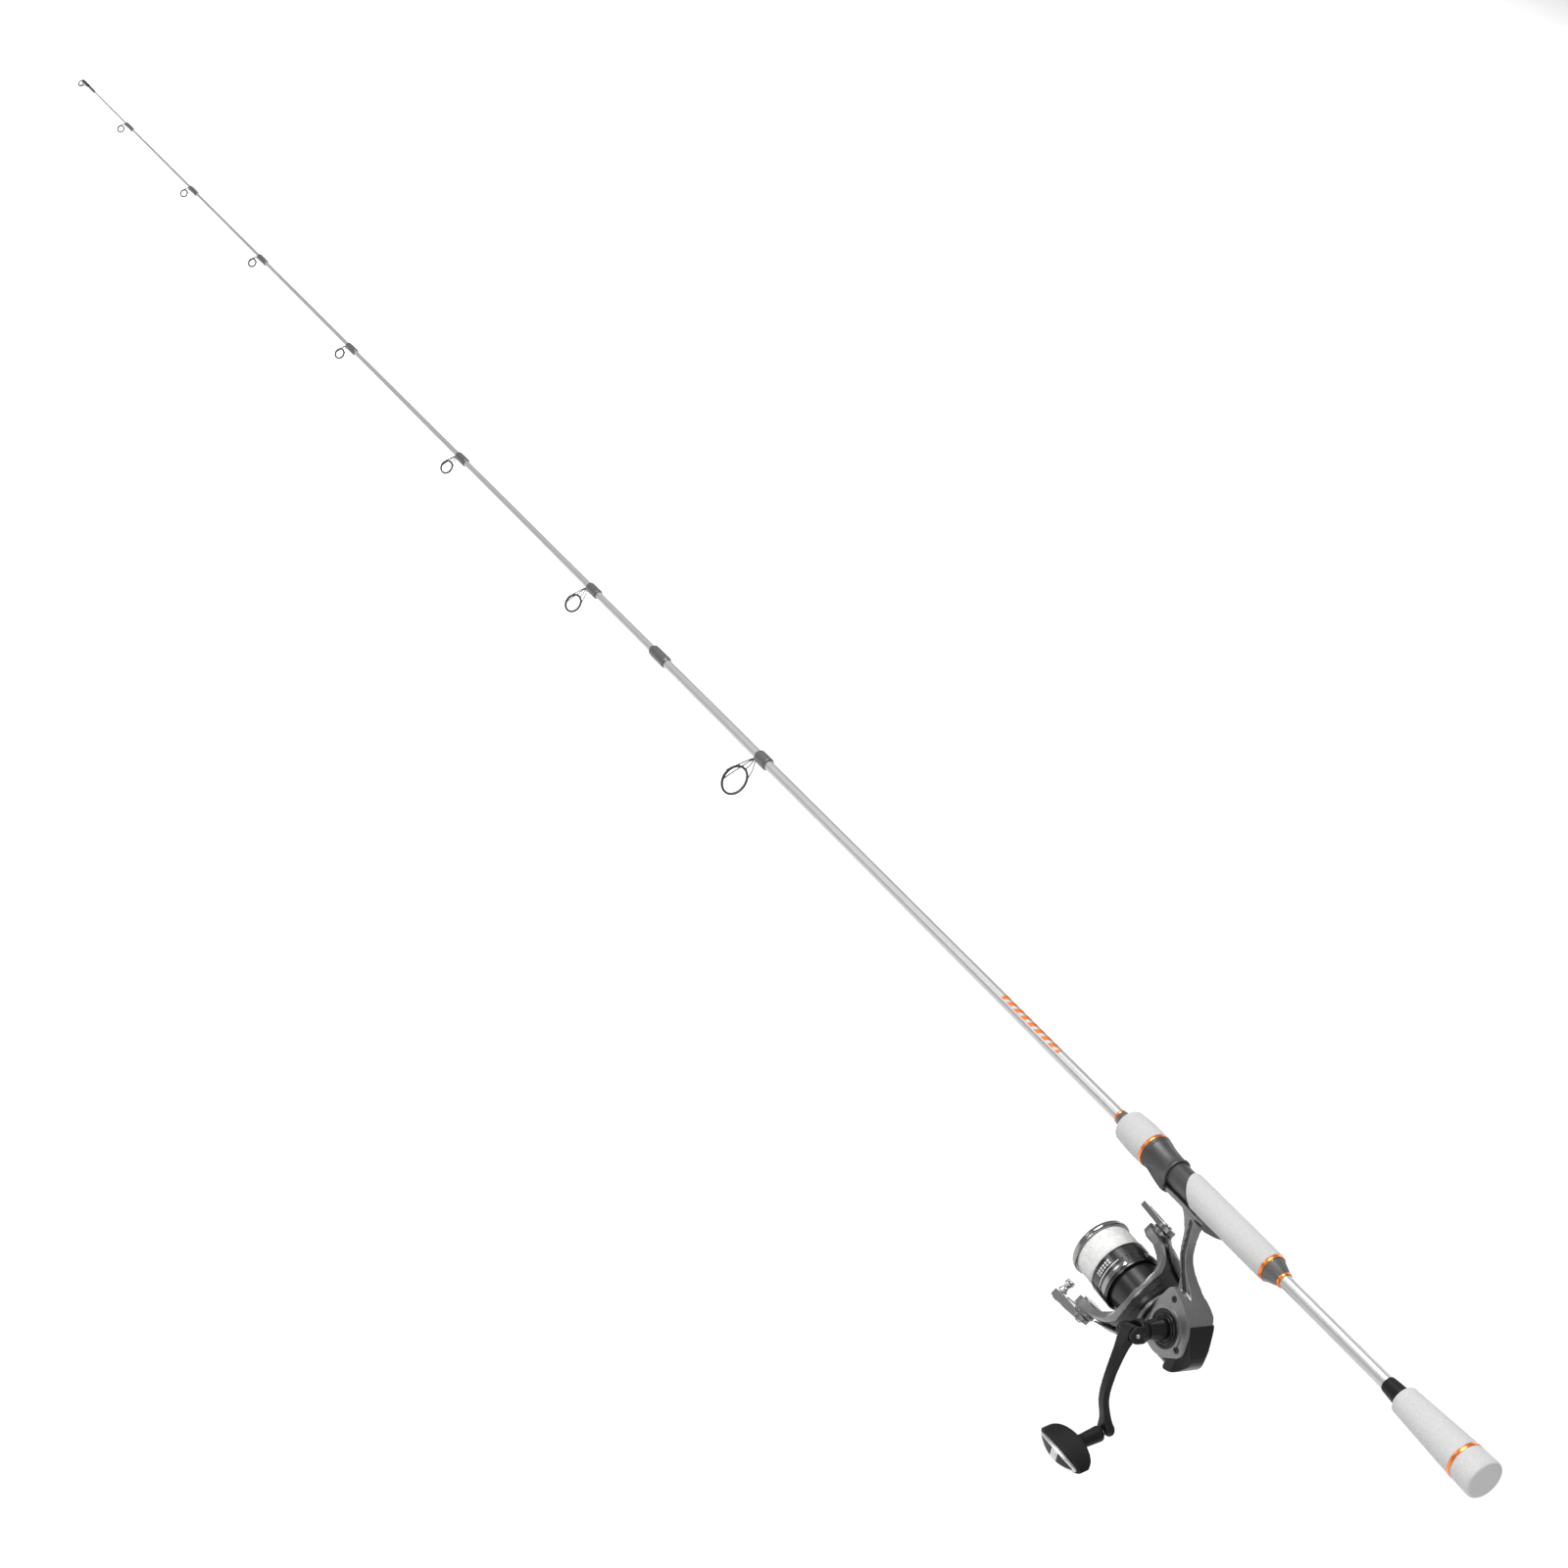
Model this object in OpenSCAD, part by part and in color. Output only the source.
// Two-piece spinning rod with its spinning reel.
// Origin: centre of the butt face. +X runs along the rod to the tip and +Z is up.
// The reel hangs below the rod and its crank is on +Y.

/* [Rod] */

// Length of the assembled rod in mm
rod_len = 2100; // [2080:5:2120]
// Diameter of the blank at the butt
blank_butt_d = 10.3; // [10:0.1:10.4]
// Diameter of the butt section at the ferrule
blank_ferrule_d = 7.24; // [7.1:0.01:7.4]
// Diameter of the tip section at its thin end
blank_tip_d = 1.8; // [1.6:0.1:2.2]
// Diameter of the ferrule plug
ferrule_plug_d = 6.2; // [6:0.1:6.3]

/* [Handle] */

// Diameter of the butt cap
butt_d = 28.2; // [27:0.2:29]
// Diameter of the main grip
grip_d = 21.2; // [21:0.1:22]
// Diameter of the foregrip
foregrip_d = 25.6; // [25.2:0.2:27]

/* [Reel] */

// Distance from the rod axis down to the main shaft, measured at the crank
shaft_drop = 92.3; // [92:0.1:92.6]
// Angle of the main shaft to the rod, nose up
shaft_tilt = 3; // [2.8:0.1:3.2]
// Diameter of the spool lip
lip_d = 45; // [44.4:0.2:45.4]
// Diameter of the wound line
line_d = 42.6; // [40:0.2:43.4]
// Length of the wound line
line_w = 19.4; // [18:0.2:19.4]

/* [Crank] */

// Angle of the crank at rest
crank_angle = 21; // [0:1:60]
// Length of the T-shaped knob
knob_len = 43; // [38:1:46]

/* [Hidden] */

$fn = 96;
fit = 0.04;

ferrule_x = 1027;
plug_len = 62;
tip_ring_x = rod_len - 4;

// ---------- helpers ----------

// turned piece on the X axis, from a profile of [x, radius] points
module turned(profile) {
  rotate([90, 0, 90])
    rotate_extrude()
      polygon([for (p = profile) [p[1], p[0]]]);
}

// plain sleeve on the X axis
module sleeve(x0, x1, ro, ri) {
  turned([[x0, ri], [x1, ri], [x1, ro], [x0, ro]]);
}

// solid disc on the X axis
module disc_x(x0, x1, r) {
  translate([x0, 0, 0])
    rotate([0, 90, 0])
      cylinder(h = x1 - x0, r = r);
}

// disc on the Y axis
module disc_y(y0, y1, r) {
  translate([0, y0, 0])
    rotate([-90, 0, 0])
      cylinder(h = y1 - y0, r = r);
}

// round bar between two points
module bar(a, b, r) {
  d = b - a;
  len = norm(d);
  translate(a)
    rotate([0, acos(d[2] / len), atan2(d[1], d[0])])
      cylinder(h = len, r = r);
}

// plate outline in X and Z, thickened along Y
module plate_xz(y0, y1, outline) {
  translate([0, y1, 0])
    rotate([90, 0, 0])
      linear_extrude(y1 - y0)
        polygon(outline);
}

// plate outline in Y and Z, thickened along X
module plate_yz(x0, x1, outline) {
  translate([x0, 0, 0])
    rotate([90, 0, 90])
      linear_extrude(x1 - x0)
        polygon(outline);
}

// plate outline in X and Y, thickened along Z
module plate_xy(z0, z1, outline) {
  translate([0, 0, z0])
    linear_extrude(z1 - z0)
      polygon(outline);
}

// closed smooth outline through hand-set points
function spline_pt(a, b, c, d, t) =
  0.5 * ((2 * b) + (c - a) * t + (2 * a - 5 * b + 4 * c - d) * t * t + (3 * b - a - 3 * c + d) * t * t * t);
function smooth(pts, steps) = [
  for (i = [0 : len(pts) - 1])
    for (s = [0 : steps - 1])
      let (n = len(pts))
      spline_pt(pts[(i + n - 1) % n], pts[i], pts[(i + 1) % n], pts[(i + 2) % n], s / steps)
];

// outline of two circles joined by their outer tangents, from the origin to [length, 0]
function teardrop(length, r1, r2) =
  let (a = acos((r1 - r2) / length))
  concat(
    [for (i = [0 : 12]) let (t = a + (360 - 2 * a) * i / 12) [r1 * cos(t), r1 * sin(t)]],
    [for (i = [0 : 12]) let (t = -a + 2 * a * i / 12) [length + r2 * cos(t), r2 * sin(t)]]
  );

// outline with pointed round ends, as on a T-shaped knob
function lens(length, width, power, steps) = [
  for (i = [0 : steps - 1])
    let (t = 360 * i / steps, c = cos(t), s = sin(t))
    [length / 2 * sign(c) * pow(abs(c), 2 / power), width / 2 * sign(s) * pow(abs(s), 2 / power)]
];

// moves a piece drawn in the reel's own frame to its place under the rod
module on_reel() {
  translate([reel_x, 0, -shaft_drop])
    rotate([0, -shaft_tilt, 0])
      children();
}

// moves a piece drawn with its arms up and down to the rotor's resting turn
module on_rotor() {
  on_reel()
    rotate([rotor_turn, 0, 0])
      children();
}

// moves a piece drawn in the crank's own frame, arm down, to its place
module on_crank() {
  on_reel()
    translate([gear_x, 0, gear_z])
      rotate([0, crank_angle, 0])
        children();
}

// ---------- rod ----------

function butt_r(x) = (blank_butt_d + (blank_ferrule_d - blank_butt_d) * x / ferrule_x) / 2;
function tip_r(x) =
  (ferrule_plug_d + (blank_tip_d - ferrule_plug_d) * (x - ferrule_x) / (tip_ring_x - ferrule_x)) / 2;

blank_start = 4;
blank_wall = 1.3;
plug_r = ferrule_plug_d / 2;

module butt_blank() {
  color("Silver")
    turned([
      [blank_start, butt_r(blank_start)],
      [ferrule_x, butt_r(ferrule_x)],
      [ferrule_x, plug_r + fit],
      [ferrule_x - plug_len - 2, plug_r + fit],
      [ferrule_x - plug_len - 2, butt_r(ferrule_x) - blank_wall],
      [blank_start, butt_r(blank_start) - blank_wall]
    ]);
}

module tip_blank() {
  color("Silver")
    turned([
      [ferrule_x - plug_len, 1.8],
      [ferrule_x - plug_len, plug_r - 0.3],
      [ferrule_x - plug_len + 1, plug_r],
      [ferrule_x, plug_r],
      [tip_ring_x, tip_r(tip_ring_x)],
      [tip_ring_x, 0],
      [1500, 0],
      [1500, 0.9],
      [1200, 1.8]
    ]);
}

butt_r0 = butt_d / 2;
butt_ring_x = 18.4;
rear_grip_x = 21.2;
rear_grip_end = 82;

module butt_cap() {
  color("LightGray")
    turned([
      [0, 0],
      [0, butt_r0 - 2.6],
      [0.4, butt_r0 - 1.3],
      [1.3, butt_r0 - 0.4],
      [2.6, butt_r0],
      [butt_ring_x, butt_r0 - 0.6],
      [butt_ring_x, butt_r(butt_ring_x) + 0.05],
      [blank_start, butt_r(blank_start) + 0.05],
      [blank_start, 0]
    ]);
}

module butt_ring() {
  color("OrangeRed")
    sleeve(butt_ring_x, rear_grip_x, butt_r0 - 0.4, butt_r(butt_ring_x) + 0.05);
}

module rear_grip() {
  color("LightGray")
    turned([
      [rear_grip_x, butt_r0 - 0.7],
      [34, butt_r0 - 1.3],
      [50, butt_r0 - 2.3],
      [66, butt_r0 - 3.2],
      [rear_grip_end - 0.8, butt_r0 - 4.1],
      [rear_grip_end, butt_r0 - 4.8],
      [rear_grip_end, butt_r(rear_grip_x) + 0.05],
      [rear_grip_x, butt_r(rear_grip_x) + 0.05]
    ]);
}

module rear_check() {
  color("Black")
    turned([
      [rear_grip_end, butt_r(rear_grip_end) + 0.05],
      [rear_grip_end, 6.9],
      [rear_grip_end + 2, 6.8],
      [rear_grip_end + 14, 5.8],
      [rear_grip_end + 16, 5.5],
      [rear_grip_end + 16, butt_r(rear_grip_end) + 0.05]
    ]);
}

thin_ring_x = 206.8;
grip_check_x = 209;
grip_ring_x = 219.6;
grip_x = 222.4;
grip_end = 313;
grip_r = grip_d / 2;

module blank_ring() {
  color("OrangeRed")
    sleeve(thin_ring_x, grip_check_x, 5.9, butt_r(thin_ring_x) + 0.05);
}

module grip_check() {
  color("DimGray")
    turned([
      [grip_check_x, butt_r(grip_check_x) + 0.05],
      [grip_check_x, 6],
      [grip_ring_x - 1, 9.3],
      [grip_ring_x, 9.6],
      [grip_ring_x, butt_r(grip_check_x) + 0.05]
    ]);
}

module grip_ring() {
  color("OrangeRed")
    sleeve(grip_ring_x, grip_x, 10.3, butt_r(grip_ring_x) + 0.05);
}

barrel_r = 8.9;
seat_bore_r = 5.6;
seat_end = 377;
foot_half_w = 7;
hood_x0 = 263;
hood_x1 = 292;
foot_top = -8.95;

// grip with a slanted front edge and a slot below for the reel foot
module main_grip() {
  color("LightGray")
    difference() {
      turned([
        [grip_x, barrel_r + 0.05],
        [grip_x, grip_r - 0.4],
        [grip_x + 0.8, grip_r],
        [hood_x0 - 1, grip_r],
        [hood_x0, grip_r - 0.1],
        [grip_end, grip_r - 0.1],
        [grip_end, barrel_r + 0.05]
      ]);
      translate([hood_x0 - 1, -foot_half_w - 0.7, -grip_r - 1])
        cube([grip_end - hood_x0 + 2, 2 * foot_half_w + 1.4, grip_r + 1]);
      plate_xz(-grip_r - 1, grip_r + 1, [
        [grip_end + 0.5, grip_r + 0.5],
        [grip_end - 2.2, grip_r * 0.8],
        [grip_end - 6.5, grip_r * 0.35],
        [grip_end - 10.5, -grip_r * 0.1],
        [grip_end - 14, -grip_r * 0.62],
        [grip_end - 16, -grip_r - 1],
        [grip_end + 1, -grip_r - 1],
        [grip_end + 1, grip_r + 0.5]
      ]);
    }
}

thread_x = 346;
thread_pitch = 3;

module reel_seat() {
  color("DarkSlateGray")
    difference() {
      union() {
        turned(concat(
          [
            [grip_x, seat_bore_r],
            [grip_x, barrel_r],
            [thread_x, barrel_r]
          ],
          [
            for (i = [0 : 9])
              for (p = [[0.2, -0.45], [1.3, -0.45], [1.5, 0], [thread_pitch, 0]])
                [thread_x + i * thread_pitch + p[0], barrel_r + p[1]]
          ],
          [
            [seat_end, barrel_r],
            [seat_end, seat_bore_r]
          ]
        ));
        intersection() {
          turned([
            [hood_x0, 6],
            [hood_x0, 9.5],
            [hood_x0 + 8, 12.8],
            [hood_x0 + 16, 14.8],
            [hood_x1 - 5, 15.4],
            [hood_x1, 14.6],
            [hood_x1, 6]
          ]);
          translate([hood_x0 - 1, -foot_half_w - 0.4, -20])
            cube([hood_x1 - hood_x0 + 2, 2 * foot_half_w + 0.8, 14]);
        }
      }
      translate([foot_x0 - 0.2, -foot_half_w + 0.6, foot_top - foot_t - 0.2])
        cube([30, 2 * foot_half_w - 1.2, foot_t + 0.25]);
      translate([hood_x1 - 8, -foot_half_w - 1, foot_top - foot_t - 0.2])
        cube([30, 2 * foot_half_w + 2, foot_t + 0.25]);
      disc_x(grip_x - 1, seat_end + 1, seat_bore_r);
    }
}

arbor_x = [234, 296, 352];
arbor_len = 16;

module seat_arbors() {
  color("Tan")
    for (x = arbor_x)
      sleeve(x, x + arbor_len, seat_bore_r - 0.02, butt_r(x) + 0.03);
}

// ---------- sliding hood ----------

hood_lip_x = 327;
hood_front_x = 352.4;
hood_bore_r = barrel_r + 0.08;

module front_hood() {
  color("DarkSlateGray")
    difference() {
      union() {
        turned([
          [hood_lip_x, 5],
          [hood_lip_x, 10.5],
          [hood_lip_x + 1.4, 10.6],
          [hood_lip_x + 3, 10],
          [hood_lip_x + 8, 10.1],
          [hood_lip_x + 16, 10.8],
          [hood_front_x - 3, 12.1],
          [hood_front_x - 2.6, 11.8],
          [hood_front_x - 2.2, 12.2],
          [hood_front_x, 12.3],
          [hood_front_x, 5]
        ]);
        intersection() {
          turned([
            [hood_lip_x, 5],
            [hood_lip_x, 15.1],
            [hood_lip_x + 2, 15.2],
            [hood_lip_x + 10, 14],
            [hood_lip_x + 22, 11.6],
            [hood_lip_x + 22, 5]
          ]);
          translate([hood_lip_x - 1, -9.2, -20])
            cube([30, 18.4, 20]);
        }
      }
      disc_x(hood_lip_x - 1, hood_front_x + 1, hood_bore_r);
      translate([hood_lip_x - 1, -foot_half_w - 0.4, foot_top - foot_t - 0.3])
        cube([foot_x1 + 1 - hood_lip_x + 0.6, 2 * foot_half_w + 0.8, foot_t + 4]);
    }
}

fore_ring_w = 2.4;
foregrip_x = hood_front_x + fore_ring_w;
foregrip_end = 384.5;
foregrip_r = foregrip_d / 2;

module foregrip_ring() {
  color("OrangeRed")
    sleeve(hood_front_x, foregrip_x, 12.7, hood_bore_r);
}

module foregrip() {
  color("LightGray")
    turned([
      [foregrip_x, hood_bore_r],
      [foregrip_x, foregrip_r - 0.3],
      [foregrip_x + 6, foregrip_r + 0.1],
      [foregrip_x + 14, foregrip_r],
      [foregrip_x + 20, foregrip_r - 0.4],
      [foregrip_end - 2.4, foregrip_r - 1],
      [foregrip_end - 0.7, foregrip_r - 1.8],
      [foregrip_end, foregrip_r - 3.4],
      [foregrip_end, butt_r(foregrip_end) + 0.3],
      [seat_end + 1, butt_r(foregrip_end) + 0.3],
      [seat_end + 1, hood_bore_r]
    ]);
}

module fore_check() {
  color("DimGray")
    turned([
      [foregrip_end, butt_r(foregrip_end) + 0.3],
      [foregrip_end, 6.6],
      [foregrip_end + 7.6, 5.4],
      [foregrip_end + 7.6, butt_r(foregrip_end) + 0.3]
    ]);
}

module fore_ring() {
  color("OrangeRed")
    sleeve(foregrip_end + 7.6, foregrip_end + 9.4, 5.35, butt_r(foregrip_end) + 0.3);
}

// ---------- guides ----------

// each guide: station of the ring, drop below the axis, inner radius of the ring, width of the frame bar
guide_set = [
  [1140, 22.5, 6.1, 0.95],
  [1358, 16.6, 4.4, 0.85],
  [1556, 12.4, 3.3, 0.75],
  [1728, 10.2, 2.7, 0.7],
  [1869, 9.4, 2.4, 0.65],
  [2006, 8.6, 2.3, 0.6]
];
stripper = [885, 31.6, 10.3, 1.15];
ring_lean = 8;

function guide_foot_x(g) = g[0] - 0.42 * g[1] - 9;
function guide_rb(g) = g[0] < ferrule_x ? butt_r(g[0] - 20) : tip_r(g[0] - 12);

module guide_place(g) {
  translate([g[0], 0, -g[1]])
    rotate([0, ring_lean, 0])
      children();
}

module guide_ring(g) {
  ri = g[2];
  t = g[3] * 0.85;
  guide_place(g)
    turned([
      [-t, ri + 0.35],
      [-t * 0.6, ri + 0.1],
      [-t * 0.25, ri],
      [t * 0.25, ri],
      [t * 0.6, ri + 0.1],
      [t, ri + 0.35],
      [t, ri + 0.9],
      [-t, ri + 0.9]
    ]);
}

module guide_foot(g) {
  translate([guide_foot_x(g) - 8, -g[3] * 1.5, -guide_rb(g) - g[3]])
    cube([17, g[3] * 3, g[3]]);
}

module guide_frame(g) {
  ri = g[2];
  b = g[3];
  rb = guide_rb(g);
  front = guide_foot_x(g) + 8;
  reach = ri + 1.05 + b * 0.35;
  difference() {
    union() {
      guide_place(g)
        turned([
          [-b, ri],
          [-b, ri + 1.2],
          [-b * 0.5, ri + 0.95 + b],
          [b * 0.5, ri + 0.95 + b],
          [b, ri + 1.2],
          [b, ri]
        ]);
      guide_foot(g);
      for (s = [-1, 1]) {
        bar(
          [front - 0.6, s * b * 0.9, -rb - b * 0.5],
          [g[0] + 0.1 * reach, s * reach * 0.7, -g[1] + reach * 0.7],
          b * 0.5
        );
        bar([front - 1.6, s * b * 0.8, -rb - b * 0.55], [g[0], s * reach, -g[1]], b * 0.45);
      }
    }
    guide_place(g)
      disc_x(-4 * b, 4 * b, ri + 0.92);
  }
}

module thread_wrap(x0, x1, rb, h) {
  turned([
    [x0, rb],
    [x0, rb + 0.15],
    [x0 + 2.4, rb + h],
    [x1 - 2.4, rb + h],
    [x1, rb + 0.15],
    [x1, rb]
  ]);
}

module guide_wrap(g) {
  x = guide_foot_x(g);
  difference() {
    thread_wrap(x - 10, x + 5.6, guide_rb(g) - 0.2, g[3] + 0.6);
    if (g[0] < ferrule_x)
      butt_blank_solid();
    else
      tip_blank_solid();
    guide_foot(g);
  }
}

module butt_blank_solid() {
  turned([[0, 0], [0, butt_r(0)], [ferrule_x, butt_r(ferrule_x)], [ferrule_x, 0]]);
}

module tip_blank_solid() {
  turned([[ferrule_x, 0], [ferrule_x, plug_r], [tip_ring_x, tip_r(tip_ring_x)], [tip_ring_x, 0]]);
}

module stripper_frame() {
  color("DimGray")
    difference() {
      guide_frame(stripper);
      butt_blank_solid();
    }
}

module stripper_ring() {
  color("Gray")
    guide_ring(stripper);
}

// wrap of the stripper guide, and the flared reinforcing wrap around the ferrule socket
module butt_wraps() {
  color("DimGray") {
    guide_wrap(stripper);
    difference() {
      turned([
        [1004, 3],
        [1004, 4.9],
        [1005.4, 4.95],
        [1006, 4.5],
        [1024, 4.2],
        [ferrule_x, 3.9],
        [ferrule_x, 3]
      ]);
      butt_blank_solid();
    }
  }
}

module guide_frames() {
  color("DimGray")
    for (g = guide_set)
      difference() {
        guide_frame(g);
        tip_blank_solid();
      }
}

tip_top_ring = [rod_len - 2, 4.4, 1.7, 0.55];

module guide_rings() {
  color("Gray") {
    for (g = guide_set)
      guide_ring(g);
    guide_ring(tip_top_ring);
  }
}

module guide_wraps() {
  color("DimGray") {
    for (g = guide_set)
      guide_wrap(g);
    difference() {
      thread_wrap(tip_ring_x - 28, tip_ring_x - 16, tip_r(tip_ring_x - 20) - 0.2, 0.75);
      tip_blank_solid();
    }
  }
}

// tube over the end of the blank, with a braced ring below it
module tip_top() {
  b = tip_top_ring[3];
  ri = tip_top_ring[2];
  color("DimGray")
    difference() {
      union() {
        disc_x(tip_ring_x - 16, tip_ring_x + 0.6, tip_r(tip_ring_x - 16) + 0.45);
        guide_place(tip_top_ring)
          turned([
            [-b, ri + 0.92],
            [-b * 0.5, ri + 0.95 + b],
            [b * 0.5, ri + 0.95 + b],
            [b, ri + 0.92]
          ]);
        for (s = [-1, 1])
          bar([tip_ring_x - 13, s * 0.7, -0.9], [tip_top_ring[0] - 0.4, s * 2.5, -4.6], 0.45);
        bar([tip_ring_x - 0.4, 0, -0.2], [tip_top_ring[0], 0, -2], 0.6);
      }
      tip_blank_solid();
      guide_place(tip_top_ring)
        disc_x(-3, 3, ri + 0.91);
    }
}

// ---------- reel frame ----------

reel_x = 270;
gear_x = 2;
gear_z = 8;
rotor_turn = 30;
foot_x0 = 271;
foot_x1 = 337;
foot_t = 3;

shaft_r = 2;
shaft_front = 97;
gear_shaft_r = 4;
pinion_gear_x0 = 9;
pinion_gear_x1 = 18;
pinion_neck_r = 4.5;

case_side = [
  [19, 17], [20, 8], [20, -6], [18, -12.5], [8, -13.5], [-4, -14], [-13, -12.5], [-20, -6], [-22.2, 1],
  [-18.8, 10], [-15.6, 17], [-11, 24.5], [-3, 31], [8, 33], [15, 28]
];
case_room = [
  [16, 14], [16.6, 6], [16.6, -5], [14, -9.5], [4, -10], [-4, -11], [-12, -10], [-18.5, -5], [-20.5, 2],
  [-17, 9], [-13.4, 16], [-8.2, 22.4], [2, 26], [10, 24]
];
case_plan = [
  [21, 15], [6, 15], [-8, 14], [-18, 12], [-23, 9.5],
  [-23, -5], [-18, -7.2], [-8, -10.8], [0, -12.4], [6, -12.6], [21, -12.6]
];
room_plan = [[18, 16], [-22, 16], [-22, -3], [-17, -6], [-7.4, -9.2], [0, -10], [18, -10]];
case_back = [[-12.6, -20], [-12.6, 18], [-6.6, 34], [-5, 44], [16, 44], [16, -20]];
room_back = [[-9.6, -20], [-9.6, 19], [-4.6, 32], [-3, 44], [20, 44], [20, -20]];
cover_y = 13;
cover_t = 2.6;

stem_side = [
  [44, 82], [39, 75], [33.5, 66], [31, 58], [28.6, 50], [23, 43], [17.6, 36], [14, 28], [10, 22], [-8, 22],
  [-13, 20.5], [-9, 26], [-2, 31.5], [6, 36.5], [14.5, 42], [20.6, 48], [23.8, 56], [25.4, 65], [26.6, 74],
  [26.6, 82]
];
stem_front = [
  [-7, 84], [-5, 74], [-3.8, 62], [-3.7, 50], [-4.4, 40], [-6, 32], [-9, 18],
  [9, 18], [6, 32], [4.4, 40], [3.7, 50], [3.8, 62], [5, 74], [7, 84]
];
front_boss_r = 11;
lever_z = -17;

module case_block(side, y0, y1) {
  intersection() {
    plate_xz(y0, y1, smooth(side, 4));
    plate_xy(-60, 60, case_plan);
    plate_yz(-60, 60, case_back);
  }
}

module foot_plate() {
  intersection() {
    plate_xz(-foot_half_w, foot_half_w, [
      [foot_x0, foot_top],
      [foot_x0, foot_top - 1.6],
      [foot_x0 + 14, foot_top - foot_t],
      [foot_x1 - 16, foot_top - foot_t],
      [foot_x1, foot_top - 1.8],
      [foot_x1, foot_top]
    ]);
    plate_xy(-30, 0, [
      [foot_x0, -3.4], [foot_x0 + 3, -5.6], [foot_x0 + 12, -6.2], [foot_x0 + 22, -foot_half_w],
      [foot_x1 - 6, -foot_half_w], [foot_x1, -4.6], [foot_x1, 4.6], [foot_x1 - 6, foot_half_w],
      [foot_x0 + 22, foot_half_w], [foot_x0 + 12, 6.2], [foot_x0 + 3, 5.6], [foot_x0, 3.4]
    ]);
  }
}

// foot, stem, gear case and front boss in one casting
module reel_body() {
  color("Silver")
    difference() {
      union() {
        foot_plate();
        on_reel() {
          intersection() {
            plate_xz(-10, 10, smooth(stem_side, 3));
            plate_yz(-30, 60, stem_front);
            translate([-60, -20, -20])
              rotate([0, shaft_tilt, 0])
                cube([140, 40, 18.4 + shaft_drop + foot_top + 60 * sin(shaft_tilt)]);
          }
          case_block(case_side, -15, cover_y);
          turned([[14, 0], [14, 15.5], [20.6, 16.5], [20.6, 0]]);
          disc_x(20, 30, front_boss_r);
          translate([0, 0, lever_z])
            disc_x(5.4, 10.4, 2.8);
          translate([5.4, -2.8, lever_z])
            cube([5, 5.6, 5]);
        }
      }
      on_reel() {
        intersection() {
          plate_xz(-20, cover_y + 1, smooth(case_room, 4));
          plate_yz(-60, 60, room_back);
          plate_xy(-60, 60, room_plan);
        }
        disc_x(10, 31, pinion_neck_r + 0.6);
        disc_x(16, 20.2, 8.02);
        disc_x(22.4, 31, 8.52);
        translate([gear_x, 0, gear_z]) {
          disc_y(-16, 0, gear_shaft_r + 0.5);
          disc_y(-12, -8.4, 6.52);
        }
        plate_xz(cover_y, 20, smooth(cover_side, 4));
        translate([0, 0, lever_z])
          disc_x(6.6, 11, 1.3 + fit);
      }
    }
}

cover_side = [
  [11, 36], [16, 27], [19, 14], [18.6, 0], [14, -9], [4, -12], [-6, -9.5], [-14, -4], [-19.5, 1.5],
  [-18.5, 12], [-15, 22], [-9, 28], [1, 34]
];
screw_spots = [[5.5, 30], [13.4, -6.6], [-14.5, 3]];

module side_cover() {
  color("Silver")
    on_reel()
      difference() {
        union() {
          plate_xz(cover_y, cover_y + cover_t, smooth(cover_side, 4));
          translate([gear_x, 0, gear_z])
            disc_y(10.4, cover_y + 1, 8.4);
          translate([gear_x, 0, gear_z])
            disc_y(cover_y + cover_t - 0.1, cover_y + cover_t + 0.8, 15.8);
          translate([gear_x + osc_dx, 0, gear_z + osc_dz])
            disc_y(10.2, cover_y + 1, 3.2);
        }
        translate([gear_x + osc_dx, 0, gear_z + osc_dz])
          disc_y(9, cover_y + 0.4, 1.5 + fit);
        translate([gear_x, 0, gear_z]) {
          disc_y(9, 20, gear_shaft_r + 1.2);
          disc_y(9, 14.2, 6.52);
          disc_y(cover_y + cover_t - 0.8, 20, 13.6);
        }
        for (s = screw_spots)
          translate([s[0], 0, s[1]]) {
            disc_y(cover_y - 1, 20, 1.05);
            disc_y(cover_y + 1.2, 20, 2.4);
          }
      }
}

module cover_screws() {
  color("Black")
    on_reel()
      for (s = screw_spots)
        translate([s[0], 0, s[1]])
          difference() {
            union() {
              disc_y(cover_y + 0.1, cover_y + 1.3, 1);
              disc_y(cover_y + 1.2, cover_y + 2.9, 2.35);
            }
            for (a = [0, 90])
              rotate([0, a, 0])
                translate([-1.5, cover_y + 2, -0.3])
                  cube([3, 2, 0.6]);
          }
}

rear_side = [
  [-9, -16], [-16.4, -14.4], [-22, -8], [-24.4, -1], [-21, 9], [-17.6, 16], [-14.4, 21],
  [-12, 20], [-13, 10], [-13, 0], [-9, -9]
];
rear_plan = [
  [-8, 15], [-16, 13.6], [-22, 11], [-25, 7.5], [-25, -3], [-22, -6], [-16, -8.8], [-8, -11.4]
];

// shell that closes the back of the gear case
module rear_cover() {
  color("Black")
    on_reel()
      difference() {
        intersection() {
          plate_xz(-16, 16, smooth(rear_side, 3));
          plate_xy(-60, 60, rear_plan);
        }
        case_block(case_side, -15.1, 15.1);
        plate_xz(cover_y - 0.1, 17, smooth(cover_side, 4));
        plate_xz(-10, 10, smooth(stem_side, 3));
        for (s = screw_spots)
          translate([s[0], 0, s[1]])
            disc_y(cover_y - 1, 20, 2.6);
      }
}

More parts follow.
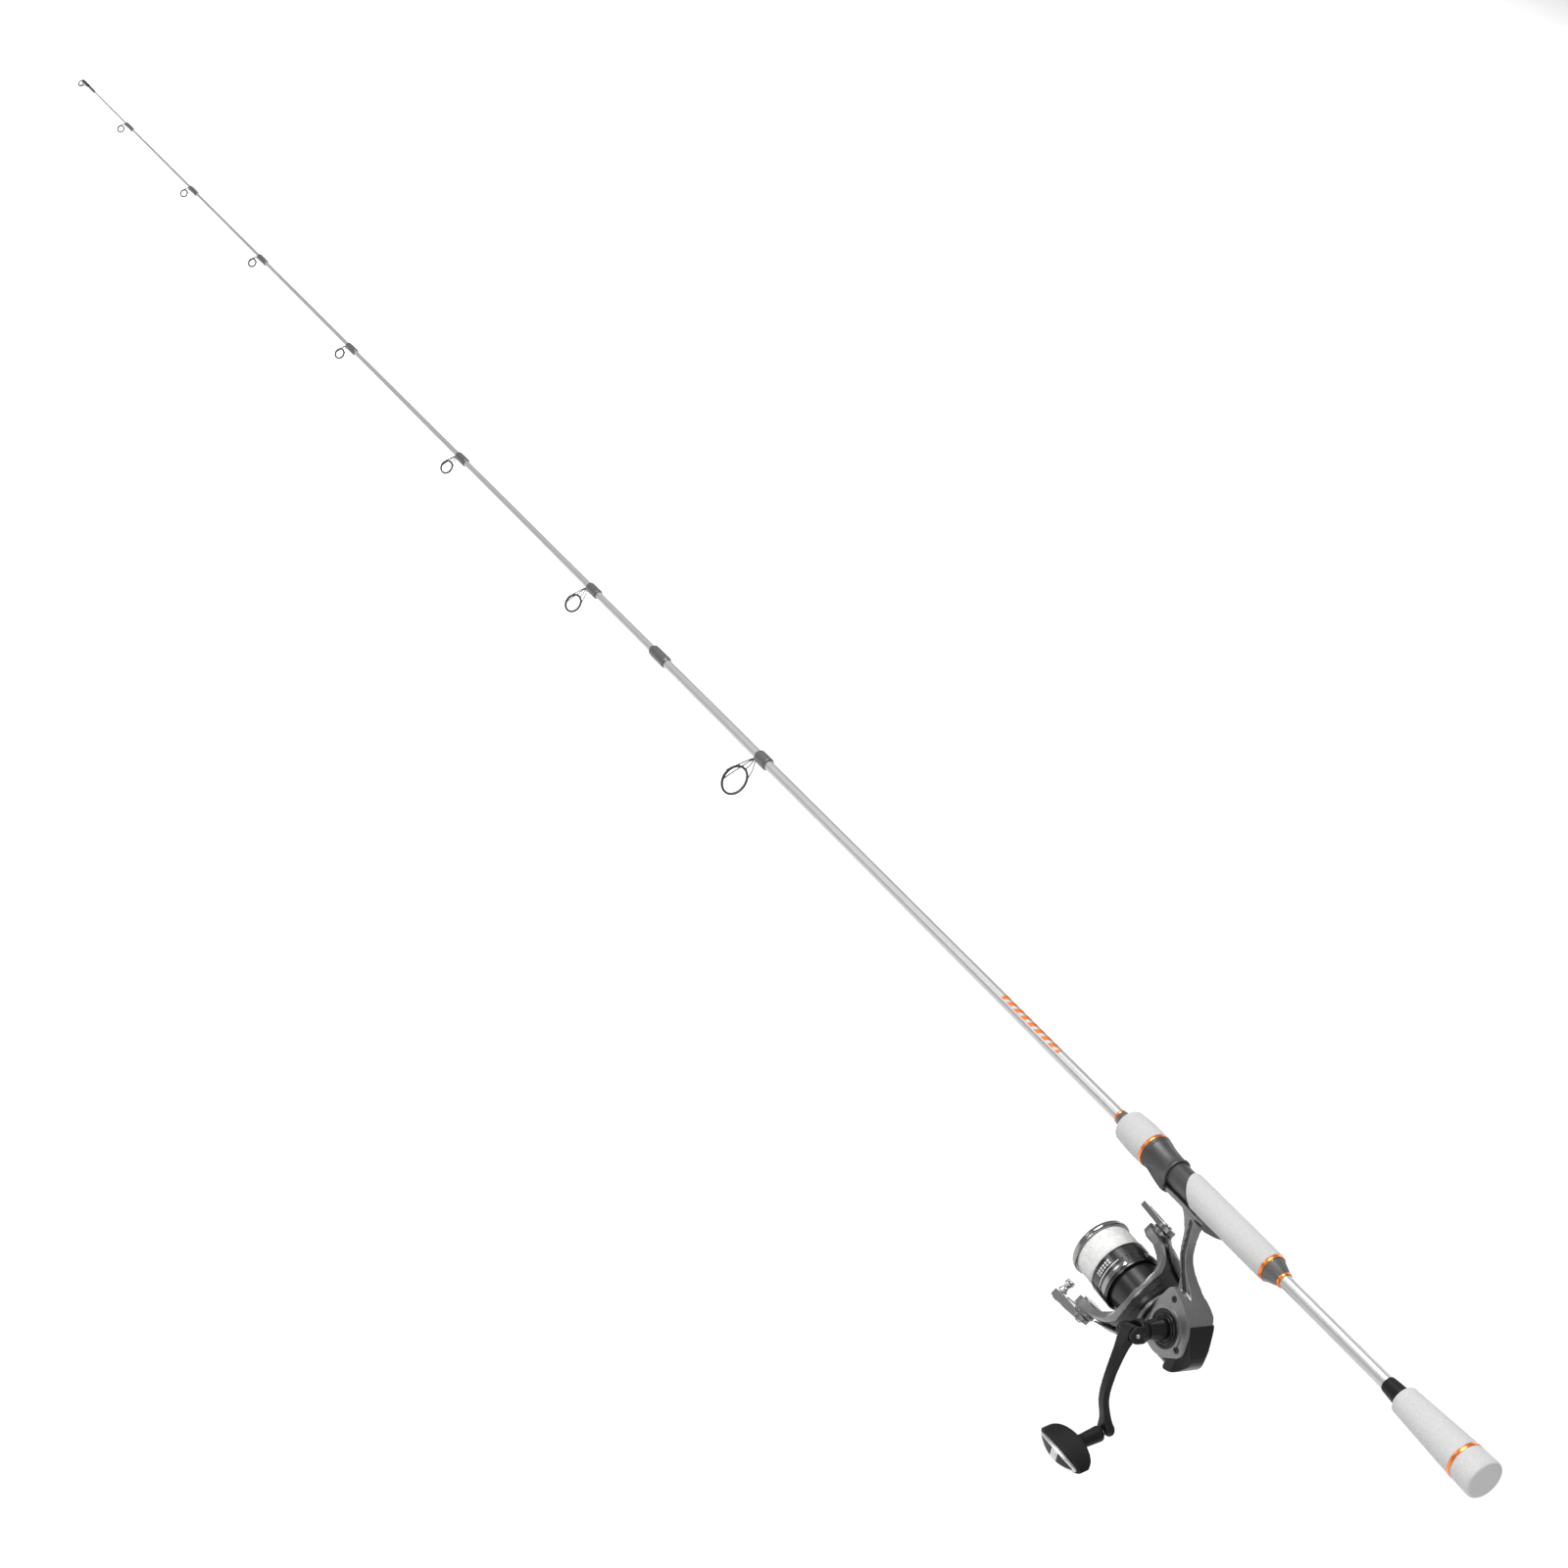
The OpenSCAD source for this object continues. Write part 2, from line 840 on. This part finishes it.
// stepped black ring stack around the crank shaft
module shaft_collar() {
  y = cover_y + cover_t - 0.8;
  color("Black")
    on_reel()
      translate([gear_x, 0, gear_z])
        rotate([0, 0, 90])
          turned([
            [y, 5.9],
            [y, 13.5],
            [y + 1.6, 13.5],
            [y + 2, 13],
            [y + 2, 12],
            [y + 1.4, 11.6],
            [y + 1.4, 10.8],
            [y + 2.4, 10.4],
            [y + 2.4, 9.4],
            [y + 1.8, 9],
            [y + 1.8, 8.6],
            [y + 2.6, 8.2],
            [y + 2.6, 5.9]
          ]);
}

module gear_bearings() {
  color("LightGray")
    on_reel()
      translate([gear_x, 0, gear_z])
        rotate([0, 0, 90]) {
          sleeve(-11.9, -8.5, 6.5, gear_shaft_r + fit);
          sleeve(10.5, 14.1, 6.5, gear_shaft_r + fit);
        }
}

module pinion_bearing() {
  color("LightGray")
    on_reel()
      sleeve(16.1, 20.1, 8, pinion_neck_r + fit);
}

module reverse_clutch() {
  color("Gray")
    on_reel()
      sleeve(22.6, 29.8, 8.5, pinion_neck_r + fit);
}

// switch lever under the front of the gear case
module reverse_lever() {
  color("Gray")
    on_reel()
      translate([0, 0, lever_z]) {
        disc_x(6.9, 12.4, 1.3);
        disc_x(10.7, 12.4, 2.4);
        translate([10.7, -1.9, -3.6])
          cube([1.7, 3.8, 3.6]);
        plate_xz(-1.9, 1.9, [[10.7, -2], [20.4, -1.8], [20.4, -3.2], [18, -4.6], [10.7, -4.2]]);
      }
}

// ---------- crank ----------

drive_teeth = 52;
pinion_teeth = 10;
cog_teeth = 18;
osc_teeth = 28;
tooth_module = 0.6;

// spur gear outline with straight-sided teeth, one tooth centred on +X
function spur(teeth, m) = [
  for (i = [0 : teeth - 1])
    let (p = 360 / teeth, r = teeth * m / 2)
    for (q = [[-0.36, -1.15], [-0.24, -1.1], [-0.09, 0.8], [0.09, 0.8], [0.24, -1.1], [0.36, -1.15]])
      (r + q[1] * m) * [cos((i + q[0]) * p), sin((i + q[0]) * p)]
];

// gear disc with radial face teeth, its hollow shaft and the small cog that drives the line lay
module drive_gear() {
  color("DarkGray")
    on_reel()
      translate([gear_x, 0, gear_z]) {
        difference() {
          union() {
            disc_y(-7.4, -4.6, 13.6);
            disc_y(-11.9, 14.1, gear_shaft_r);
            disc_y(-8.1, -7.4, 5.4);
            for (i = [0 : drive_teeth - 1])
              rotate([0, i * 360 / drive_teeth, 0])
                translate([10, -4.8, -0.42])
                  cube([3.4, 0.95, 0.84]);
            translate([0, 6, 0])
              rotate([90, 0, 0])
                linear_extrude(3)
                  rotate(osc_angle)
                    polygon(spur(cog_teeth, tooth_module));
          }
          rotate([0, crank_angle, 0])
            plate_xz(-20, 20, [for (i = [0 : 5]) 2.4 * [cos(60 * i), sin(60 * i)]]);
          for (a = [30 : 60 : 330])
            rotate([0, a, 0])
              translate([7.9, 0, 0])
                disc_y(-10, -4, 1.5);
        }
      }
}

osc_dx = -12.08;
osc_dz = -7;
osc_angle = atan2(osc_dz, osc_dx);
osc_pin_r = 6.25;

// wheel whose pin carries the slider to and fro
module oscillation_gear() {
  color("Goldenrod")
    on_reel()
      translate([gear_x + osc_dx, 0, gear_z + osc_dz]) {
        translate([0, 5.8, 0])
          rotate([90, 0, 0])
            linear_extrude(2.6)
              rotate(osc_angle + 180 + 180 / osc_teeth)
                polygon(spur(osc_teeth, tooth_module));
        disc_y(5.8, 8.8, 3);
        disc_y(8.8, cover_y, 1.5);
        translate([osc_pin_r, 0, 0])
          disc_y(2.9, 3.4, 1.4);
      }
}

slider_x = gear_x + osc_dx + osc_pin_r;

module slider() {
  color("Goldenrod")
    on_reel()
      difference() {
        translate([slider_x - 1.8, -2.9, -3.2])
          cube([3.6, 5.3, 6.5]);
        translate([slider_x - 1, 2.1, -2.6])
          cube([2, 1, 5.3]);
        disc_x(slider_x - 4, slider_x + 4, shaft_r + 0.02);
      }
}

module main_shaft() {
  color("Silver")
    on_reel()
      disc_x(slider_x - 1.8, shaft_front, shaft_r);
}

fold_y = 46;
arm_side = [
  [41.2, 3], [44.5, 5.6], [50.5, 5], [52.2, 0], [54.8, -10], [59.6, -24], [62.6, -37], [62.6, -46], [60, -56],
  [57, -69],
  [51, -67.4], [54.4, -56], [57.6, -46], [57.4, -37], [54, -24], [48.6, -10], [43, -3]
];
arm_front = [
  [-4.4, 8], [-5.2, 3], [-4.6, -8], [-3.3, -26], [-3, -50], [-3.2, -58], [-4.4, -62], [-5.4, -66.6],
  [-4.2, -70.5], [0, -72], [4.2, -70.5],
  [5.4, -66.6], [4.4, -62], [3.2, -58], [3, -50], [3.3, -26], [4.6, -8], [5.2, 3], [4.4, 8]
];
fork_gap = 5.4;
fold_pin_r = 1.5;
post_y = 54.4;
post_z = -66.6;
post_lean = 16;

// hexagonal drive rod, black cone and the fork that holds the arm
module handle_shaft() {
  color("Black")
    on_crank()
      difference() {
        union() {
          rotate([0, 0, 90])
            turned([
              [14.4, 0],
              [14.4, 4.8],
              [17.8, 4.8],
              [18.2, 7],
              [19.4, 7.8],
              [21, 7.9],
              [27, 7.2],
              [33, 6.7],
              [36.6, 8.6],
              [40.8, 8.6],
              [40.8, 0]
            ]);
          plate_xz(-11.8, 15, [for (i = [0 : 5]) 2.35 * [cos(60 * i), sin(60 * i)]]);
          for (x = [fork_gap, -fork_gap - 2.6])
            plate_yz(x, x + 2.6, concat(
              [[39, -5.8], [fold_y, -5.8]],
              [for (i = [1 : 9]) [fold_y + 5.8 * sin(18 * i), -5.8 * cos(18 * i)]],
              [[fold_y, 5.8], [39, 5.8]]
            ));
        }
        translate([-10, fold_y, 0])
          disc_x(0, 20, fold_pin_r + 0.01);
      }
}

module shaft_cap() {
  color("Black")
    on_reel()
      translate([gear_x, 0, gear_z])
        difference() {
          rotate([0, 0, 90])
            turned([
              [-12, 0],
              [-12, 4],
              [-12.9, 4],
              [-12.9, 6],
              [-15.2, 6.6],
              [-16.2, 6],
              [-16.6, 4.6],
              [-16.6, 0]
            ]);
          for (i = [0 : 11])
            rotate([0, i * 30, 0])
              translate([7, 0, 0])
                disc_y(-20, -12.6, 0.9);
        }
}

module fold_pin() {
  color("Silver")
    on_crank()
      translate([0, fold_y, 0])
        disc_x(-8.6, 8.6, fold_pin_r);
}

module handle_arm() {
  color("Black")
    on_crank()
      difference() {
        intersection() {
          plate_yz(-10, 10, smooth(arm_side, 3));
          plate_xz(30, 80, smooth(arm_front, 2));
        }
        translate([0, fold_y, 0])
          disc_x(-12, 12, fold_pin_r + fit);
        translate([0, post_y, post_z])
          rotate([-post_lean, 0, 0])
            disc_y(-12, 12, 1.76);
      }
}

module on_post() {
  on_crank()
    translate([0, post_y, post_z])
      rotate([-post_lean, 0, 0])
        children();
}

knob_turn = -25;
knob_neck = 5.4;
knob_base = 24;
knob_top = 41;

module knob_post() {
  color("Silver")
    on_post() {
      disc_y(-4.2, knob_top - 6, 1.75);
      disc_y(-5, -4, 3.4);
    }
}

// the knob turns freely, and rests with its long side near the line of the rod
module on_knob() {
  on_post()
    rotate([0, knob_turn, 0])
      children();
}

// rubber T-shaped knob on a tapered neck
module knob() {
  color([0.08, 0.08, 0.08])
    on_knob()
      difference() {
        union() {
          rotate([0, 0, 90])
            turned([
              [knob_neck, 0],
              [knob_neck, 5.2],
              [knob_neck + 1, 5.6],
              [knob_base - 4, 4.9],
              [knob_base + 2, 5.6],
              [knob_base + 2, 0]
            ]);
          intersection() {
            plate_xz(knob_base, knob_top, lens(knob_len, 13.6, 1.8, 48));
            plate_xy(-12, 12, smooth([
              [-knob_len / 2 - 0.5, knob_top - 3], [-knob_len / 2 - 0.3, knob_top - 8],
              [-knob_len / 2 + 3, knob_base + 4], [-knob_len / 4, knob_base + 1], [0, knob_base],
              [knob_len / 4, knob_base + 1], [knob_len / 2 - 3, knob_base + 4],
              [knob_len / 2 + 0.3, knob_top - 8], [knob_len / 2 + 0.5, knob_top - 3],
              [knob_len / 4, knob_top - 0.6], [0, knob_top], [-knob_len / 4, knob_top - 0.6]
            ], 3));
          }
        }
        disc_y(0, knob_top - 5.6, 1.75 + fit);
        plate_xz(knob_top - 3.4, knob_top + 1, lens(knob_len - 5, 9.6, 1.8, 48));
      }
}

module knob_cap() {
  color("Silver")
    on_knob()
      intersection() {
        plate_xz(knob_top - 3.3, knob_top + 6, lens(knob_len - 5.4, 9.2, 1.8, 48));
        plate_xy(-12, 12, concat(
          [[-knob_len / 2, knob_top - 4], [knob_len / 2, knob_top - 4]],
          [for (i = [0 : 12]) let (u = 1 - i / 6) [u * knob_len / 2, knob_top - 1.6 + 5 * (1 - u * u)]]
        ));
      }
}

// ---------- rotor ----------

pivot_x = 68;
arm_top = 37.4;
skirt_r = 22.3;

module pinion() {
  color("Goldenrod")
    on_reel()
      difference() {
        union() {
          rotate([90, 0, 90])
            translate([0, 0, pinion_gear_x0])
              linear_extrude(pinion_gear_x1 - 2.4 - pinion_gear_x0)
                polygon(spur(pinion_teeth, 0.62));
          disc_x(15.5, 36, pinion_neck_r);
          disc_x(36, 44, 4);
        }
        disc_x(pinion_gear_x0 - 1, 50, shaft_r + fit);
      }
}

rotor_inner = [
  [21.4, 17.4], [24.5, 21.2], [34, 24.4], [45, 27.8], [60, 30.6], [80, 31.4]
];
rotor_outer = [
  [80, 37.4], [60, 36.2], [45, 32.2], [34, 27.8], [24, 23.6], [21.4, 19.6]
];
arm_plan = [
  [31, 28], [35.4, 24.4], [38, 19.8], [43, 15.8], [50, 12.8], [58, 10.8], [66, 9.6], [72, 9], [76, 7],
  [78, 4], [78.6, 0], [78, -4], [76, -7],
  [72, -9], [66, -9.6], [58, -10.8], [50, -12.8], [43, -15.8], [38, -19.8], [35.4, -24.4], [31, -28]
];

module rotor() {
  color("Silver")
    on_rotor()
      difference() {
        union() {
          intersection() {
            turned(concat(rotor_inner, rotor_outer));
            union() {
              plate_xy(-60, 60, arm_plan);
              translate([0, -60, -60])
                cube([34, 120, 120]);
            }
          }
          turned([
            [30.6, 4.02],
            [30.6, 17],
            [24.5, 19.6],
            [24.5, 21.6],
            [33, 22],
            [33, 19.6],
            [56, 19.6],
            [56, 18.2],
            [36.4, 18.2],
            [36.4, 8],
            [39.4, 8],
            [39.4, 4.02]
          ]);
          for (s = [-1, 1])
            translate([pivot_x, 0, s * 34])
              cylinder(h = 10.6, r = 7.6, center = true);
        }
        disc_x(20, 36, pinion_neck_r + 0.02);
        for (s = [-1, 1])
          translate([pivot_x, 0, s * 36])
            cylinder(h = 12, r = 2.3, center = true);
      }
}

module rotor_nut() {
  color("Silver")
    on_rotor()
      difference() {
        translate([39.5, 0, 0])
          rotate([0, 90, 0])
            cylinder(h = 3.6, r = 7, $fn = 6);
        disc_x(39, 44, 4.02);
      }
}

// long covers on the outer faces of both rotor arms
module arm_covers() {
  color("DimGray")
    on_rotor()
      for (s = [0, 180])
        rotate([s, 0, 0])
          intersection() {
            turned([
              [27, 25.2], [34, 27.85], [45, 32.25], [58, 35.95],
              [58, 36.9], [45, 33.6], [34, 29.3], [27, 26]
            ]);
            translate([42.5, 0, 0])
              plate_xy(20, 60, lens(30, 15, 1.9, 40));
          }
}

lever_r = 27;
lever_lean = -5;
bail_z = 39.4;

// lever of the main arm, it carries the line roller
module bail_lever() {
  color("Gray")
    on_rotor()
      translate([pivot_x, 0, 0])
        difference() {
          union() {
            rotate([0, 0, lever_lean])
              intersection() {
                plate_xy(-46.4, -bail_z - 0.2, teardrop(lever_r, 6.6, 4.8));
                plate_xz(-12, 12, [
                  [-8, -bail_z], [-8, -42.6], [0, -44], [10, -45.4], [24, -46.4],
                  [34, -46.4], [34, -41.8], [14, -bail_z - 0.2], [8, -bail_z]
                ]);
              }
            translate([0, 0, -42])
              cylinder(h = 10, r = 2.24);
          }
          rotate([0, 0, lever_lean])
            translate([lever_r, 0, -50])
              cylinder(h = 20, r = 1.52);
          translate([0, 0, -50])
            cylinder(h = 6.6, r = 2.62);
        }
}

module bail_holder() {
  color("Gray")
    on_rotor()
      translate([pivot_x, 0, 0]) {
        difference() {
          rotate([0, 0, lever_lean])
            plate_xy(bail_z + 0.2, 43.4, teardrop(lever_r - 2, 7.2, 4.6));
          rotate([0, 0, lever_lean])
            translate([9, 0, 0])
              plate_xy(bail_z + 1.6, 50, teardrop(12, 3, 2));
        }
        translate([0, 0, 32])
          cylinder(h = 10, r = 2.24);
      }
}

roller_z0 = -40.2;
roller_z1 = -32.4;

module at_roller() {
  on_rotor()
    translate([pivot_x, 0, 0])
      rotate([0, 0, lever_lean])
        translate([lever_r, 0, 0])
          children();
}

module roller_screw() {
  color("Silver")
    at_roller()
      difference() {
        union() {
          translate([0, 0, -47.4])
            cylinder(h = 1, r = 2.6);
          translate([0, 0, -46.6])
            cylinder(h = 15.2, r = 1.5);
          translate([0, 0, roller_z1 + 0.2])
            cylinder(h = 1.8, r = 3.4);
        }
        for (a = [0, 90])
          rotate([0, 0, a])
            translate([-1.7, -0.3, -47.9])
              cube([3.4, 0.6, 1]);
      }
}

module line_roller() {
  color("Silver")
    at_roller()
      rotate_extrude()
        polygon([
          [1.5 + fit, roller_z0], [3.6, roller_z0], [3.7, roller_z0 + 0.8], [3, roller_z0 + 3],
          [2.7, (roller_z0 + roller_z1) / 2], [3, roller_z1 - 3], [3.7, roller_z1 - 0.8],
          [3.6, roller_z1], [1.5 + fit, roller_z1]
        ]);
}

// pivot screws in both rotor arms
module bail_screws() {
  color("Silver")
    on_rotor()
      translate([pivot_x, 0, 0]) {
        translate([0, 0, -45])
          cylinder(h = 1.6, r = 2.6);
        translate([0, 0, 43.4])
          cylinder(h = 1.2, r = 2.8);
      }
}

wire_r = 1.1;
wire_sides = 12;
wire_steps = 40;
wire_half = 41.2;
wire_depth = 47;
wire_x = 91;
wire_back = 0.42;

function wire_point(t) =
  let (
    c = cos(t),
    u = wire_half * sign(c) * pow(abs(c), 0.86),
    d = wire_depth * pow(abs(sin(t)), 0.94)
  )
  [wire_x - wire_back * d, -2.6 - 0.9 * d, u];
wire_path = [for (i = [0 : wire_steps]) wire_point(3 + 174 * i / wire_steps)];

function unit(v) = v / norm(v);
wire_normal = unit(cross([0, 0, 1], [-wire_back, -0.9, 0]));
function wire_ring(i) =
  let (
    a = wire_path[max(i - 1, 0)],
    b = wire_path[min(i + 1, wire_steps)],
    t = unit(b - a),
    n = wire_normal,
    m = cross(t, n)
  )
  [
    for (k = [0 : wire_sides - 1])
      let (q = 360 * k / wire_sides)
      wire_path[i] + wire_r * (cos(q) * n + sin(q) * m)
  ];
wire_points = [for (i = [0 : wire_steps]) each wire_ring(i)];
wire_faces = concat(
  [[for (k = [0 : wire_sides - 1]) k]],
  [[for (k = [0 : wire_sides - 1]) wire_steps * wire_sides + wire_sides - 1 - k]],
  [
    for (i = [0 : wire_steps - 1])
      for (k = [0 : wire_sides - 1])
        let (a = i * wire_sides + k, b = i * wire_sides + (k + 1) % wire_sides)
        [b, a, a + wire_sides, b + wire_sides]
  ]
);

module bail_wire() {
  color("Silver")
    on_rotor()
      polyhedron(wire_points, wire_faces, convexity = 4);
}

// ---------- spool ----------

skirt_x0 = 54.7;
skirt_x1 = 73.4;
lip_x = skirt_x1 + line_w + 0.2;
lip_end = lip_x + 5.2;
lip_r = lip_d / 2;
arbor_r = 15.5;

module spool() {
  color([0.1, 0.1, 0.11])
    on_reel()
      turned([
        [skirt_x0, 20.7],
        [skirt_x0, skirt_r - 0.5],
        [skirt_x0 + 0.6, skirt_r],
        [skirt_x1 - 1, skirt_r],
        [skirt_x1, skirt_r - 0.8],
        [skirt_x1, arbor_r],
        [lip_x, arbor_r],
        [lip_x, 20],
        [lip_x + 3.2, 20],
        [lip_x + 3.2, 13.2],
        [lip_x - 7, 13.2],
        [lip_x - 7, shaft_r + fit],
        [skirt_x1 - 1.4, shaft_r + fit],
        [skirt_x1 - 1.4, 20],
        [skirt_x1 - 2.4, 20.7]
      ]);
}

module spool_lip() {
  color("Silver")
    on_reel()
      turned([
        [lip_x, 20.02],
        [lip_x, lip_r - 0.9],
        [lip_x + 0.5, lip_r - 0.3],
        [lip_x + 1.4, lip_r],
        [lip_end - 1.6, lip_r - 0.3],
        [lip_end - 0.5, lip_r - 1.4],
        [lip_end, lip_r - 3],
        [lip_end, 16.5],
        [lip_x + 3.25, 16.5],
        [lip_x + 3.25, 20.02]
      ]);
}

// satin panels let into the skirt
module spool_band() {
  color("LightGray")
    on_reel()
      intersection() {
        sleeve(skirt_x0 + 2.6, skirt_x0 + 6.6, skirt_r + 0.15, skirt_r + 0.02);
        for (s = [0, 120, 240])
          rotate([s + 45, 0, 0])
            translate([0, -14, 5])
              cube([100, 28, 30]);
      }
}

module line() {
  color("WhiteSmoke")
    on_reel()
      turned([
        [skirt_x1 + 0.05, arbor_r + 0.02],
        [skirt_x1 + 0.05, line_d / 2 - 0.2],
        [skirt_x1 + 1.4, line_d / 2],
        [lip_x - 1.4, line_d / 2 - 0.1],
        [lip_x - 0.05, line_d / 2 - 0.5],
        [lip_x - 0.05, arbor_r + 0.02]
      ]);
}

washer_x = lip_x - 6.9;

module drag_washers() {
  color("DarkGray")
    on_reel()
      for (i = [0 : 2])
        sleeve(washer_x + i * 1.3, washer_x + i * 1.3 + 1, 12.6, shaft_r + 0.3);
}

knob_x = washer_x + 4.1;

// drag knob with its raised grip bar
module drag_knob() {
  color([0.25, 0.25, 0.26])
    on_reel()
      difference() {
        union() {
          turned([
            [knob_x, 0],
            [knob_x, 12.2],
            [lip_end + 0.4, 12.4],
            [lip_end + 1.6, 11.6],
            [lip_end + 2.2, 9],
            [lip_end + 2.2, 0]
          ]);
          rotate([rotor_turn + 16, 0, 0])
            plate_xz(-2.4, 2.4, [
              [lip_end + 1, -10], [lip_end + 4.4, -9.6], [lip_end + 6.4, -7.6], [lip_end + 7.2, -4.6],
              [lip_end + 7.2, 4.6], [lip_end + 6.4, 7.6], [lip_end + 4.4, 9.6], [lip_end + 1, 10]
            ]);
        }
        disc_x(knob_x - 1, shaft_front + 0.3, shaft_r + fit);
      }
}

// ---------- pieces ----------

butt_blank();
butt_cap();
butt_ring();
rear_grip();
rear_check();
blank_ring();
grip_check();
grip_ring();
main_grip();
reel_seat();
seat_arbors();
stripper_frame();
stripper_ring();
butt_wraps();
front_hood();
foregrip_ring();
foregrip();
fore_check();
fore_ring();
tip_blank();
guide_frames();
guide_rings();
guide_wraps();
tip_top();
reel_body();
side_cover();
cover_screws();
rear_cover();
shaft_collar();
gear_bearings();
pinion_bearing();
reverse_clutch();
reverse_lever();
drive_gear();
handle_shaft();
shaft_cap();
fold_pin();
handle_arm();
knob_post();
knob();
knob_cap();
pinion();
rotor();
rotor_nut();
arm_covers();
bail_lever();
bail_holder();
bail_wire();
roller_screw();
line_roller();
bail_screws();
main_shaft();
slider();
oscillation_gear();
spool();
spool_lip();
spool_band();
line();
drag_washers();
drag_knob();
